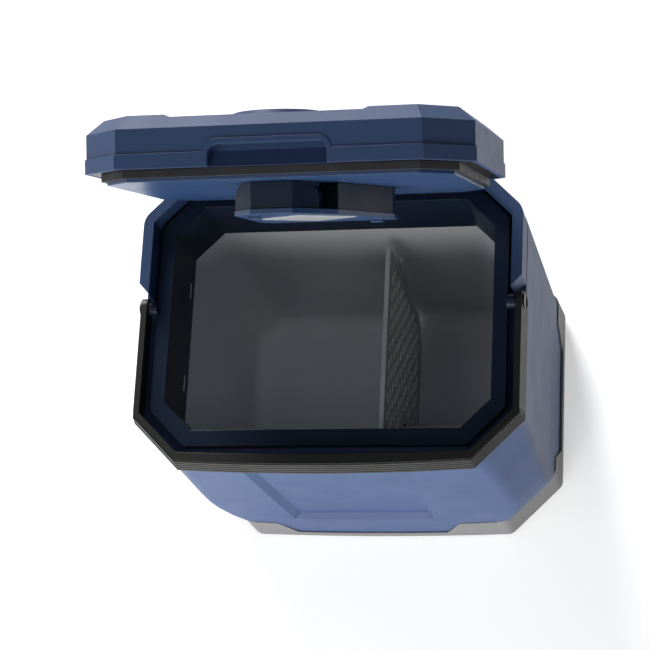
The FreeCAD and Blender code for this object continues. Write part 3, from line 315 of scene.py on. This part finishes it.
MATERIALS = {
    "body_blue": moulded("blue_moulding", BLUE, 0.48, wear=0.10, gloss=0.18),
    "navy_trim": moulded("navy_moulding", NAVY, 0.36, wear=0.08, gloss=0.22),
    "lid_inner_blue": moulded("lid_underside", (0.016, 0.042, 0.110), 0.30, wear=0.12, gloss=0.4),
    "skirt_grey": moulded("skirt_moulding", (0.120, 0.120, 0.122), 0.50, gloss=0.2,
                          grain_depth=SKIRT_GRAIN_DEPTH),
    "handle_black": moulded("handle_moulding", (0.016, 0.017, 0.015), 0.46, wear=0.14, gloss=0.25),
    "liner_grey": moulded("tub_moulding", (0.56, 0.58, 0.60), 0.50, wear=0.03, gloss=0.25, edge=0.002),
    # the divider's slots and corners get painted shade
    "divider_grey": moulded("divider_moulding", (0.46, 0.475, 0.48), 0.50, wear=0.06, gloss=0.25,
                             recess_shade_reach=0.006),
    "black_panel": moulded("black_moulding", (0.006, 0.006, 0.007), 0.34, gloss=0.25),
    "button_grey": moulded("button_moulding", (0.16, 0.165, 0.17), 0.40),
    "display_glass": clear_window("smoked_window", (0.010, 0.014, 0.018)),
    "light_lens": frosted_lens("frosted_lens", (0.75, 0.78, 0.80)),
    "smoked_lens": frosted_lens("smoked_lens", (0.24, 0.25, 0.26)),
    "black_rubber": rubber("foot_rubber", (0.016, 0.016, 0.016)),
    "gasket_rubber": rubber("seal_rubber", (0.010, 0.010, 0.012)),
    "foam": foam("rigid_foam", (0.78, 0.70, 0.46)),
    "steel": metal("plated_steel", (0.58, 0.59, 0.61), 0.30, (1.0, 12.0, 1.0)),
    "black_steel": enamel("black_enamel", (0.014, 0.014, 0.016)),
    "aluminium": metal("mill_aluminium", (0.78, 0.79, 0.80), 0.34, (0.1, 1.0, 1.0)),
    "copper": metal("copper_pipe", (0.86, 0.45, 0.28), 0.28, (1.0, 0.1, 1.0)),
    "brass_pins": metal("brass_pins", (0.86, 0.70, 0.38), 0.25, (0.1, 1.0, 1.0)),
    "circuit_board": circuit("solder_mask", (0.010, 0.085, 0.035)),
}


def dress_nodes():
    """Gives each CAD piece the material of its slot in the record."""
    for part in frame["record"]["subparts"]:
        node = frame["nodes"][part["node"]]
        node.data.materials.clear()
        node.data.materials.append(MATERIALS[part["material_slot"]])


# ---- stage --------------------------------------------------------------------------------
def make_floor():
    """Plain pale paper, large enough to fill every view."""
    half = FLOOR_SIZE / 2
    mesh = bpy.data.meshes.new("floor")
    corners = [(-half, -half, 0), (half, -half, 0), (half, half, 0), (-half, half, 0)]
    mesh.from_pydata(corners, [], [(0, 1, 2, 3)])
    floor = bpy.data.objects.new("floor", mesh)
    bpy.context.scene.collection.objects.link(floor)
    m = Nodes("floor_paper")
    shade = m.mix(m.noise(2.0), FLOOR_DARK, FLOOR_LIGHT)
    m.link(shade, m.shader.inputs["Base Color"])
    m.shader.inputs["Roughness"].default_value = FLOOR_ROUGHNESS
    m.shader.inputs["Emission Color"].default_value = (1.0, 1.0, 1.0, 1.0)
    m.shader.inputs["Emission Strength"].default_value = FLOOR_GLOW
    mesh.materials.append(m.material)


def make_world():
    """A soft studio: bright at the horizon, dim overhead and dim to the cooler's right."""
    world = bpy.data.worlds.new("studio")
    world.use_nodes = True
    bpy.context.scene.world = world
    tree = world.node_tree
    coords = tree.nodes.new("ShaderNodeTexCoord")
    split = tree.nodes.new("ShaderNodeSeparateXYZ")
    tree.links.new(coords.outputs["Generated"], split.inputs[0])
    ramp = tree.nodes.new("ShaderNodeValToRGB")
    ramp.color_ramp.elements[0].position = 0.0
    ramp.color_ramp.elements[0].color = (*HORIZON, 1.0)
    ramp.color_ramp.elements[1].position = ZENITH_FROM
    ramp.color_ramp.elements[1].color = (*ZENITH, 1.0)
    tree.links.new(split.outputs["Z"], ramp.inputs["Fac"])
    side = tree.nodes.new("ShaderNodeMapRange")
    side.inputs["From Min"].default_value = DIM_FROM
    side.inputs["From Max"].default_value = DIM_TO
    side.inputs["To Min"].default_value = 1.0
    side.inputs["To Max"].default_value = DIM_SIDE
    tree.links.new(split.outputs["X"], side.inputs["Value"])
    background = tree.nodes["Background"]
    tree.links.new(ramp.outputs["Color"], background.inputs["Color"])
    tree.links.new(side.outputs["Result"], background.inputs["Strength"])


def sun(name, toward, share, spread):
    """A distant soft light; share is what a white card facing it gives back."""
    light = bpy.data.lights.new(name, "SUN")
    light.energy = share * math.pi
    light.angle = math.radians(spread)
    lamp = bpy.data.objects.new(name, light)
    lamp.rotation_euler = Vector(toward).to_track_quat("Z", "Y").to_euler()
    bpy.context.scene.collection.objects.link(lamp)


def make_softbox():
    """A low, wide panel in front that lifts the front wall."""
    light = bpy.data.lights.new("low_softbox", "AREA")
    light.shape = "RECTANGLE"
    light.size, light.size_y = SOFTBOX_SIZE
    light.energy = SOFTBOX_WATTS
    lamp = bpy.data.objects.new("low_softbox", light)
    lamp.location = SOFTBOX_PLACE
    away = Vector(SOFTBOX_PLACE) - Vector(SOFTBOX_AIM)
    lamp.rotation_euler = away.to_track_quat("Z", "Y").to_euler()
    bpy.context.scene.collection.objects.link(lamp)


def make_camera():
    """The photo's solved camera."""
    data = bpy.data.cameras.new("camera")
    data.lens = CAMERA_LENS_MM
    data.sensor_width = SENSOR_WIDTH_MM
    data.clip_end = VIEW_END
    camera = bpy.data.objects.new("camera", data)
    axes = Matrix((CAMERA_RIGHT, -CAMERA_DOWN, -CAMERA_FORWARD)).transposed()
    camera.matrix_world = Matrix.Translation(CAMERA_PLACE) @ axes.to_4x4()
    bpy.context.scene.collection.objects.link(camera)
    bpy.context.scene.camera = camera


dress_nodes()
make_floor()
make_world()
for sun_row in SUNS:
    sun(*sun_row)
make_softbox()
make_camera()
bpy.context.scene.view_settings.view_transform = "Standard"
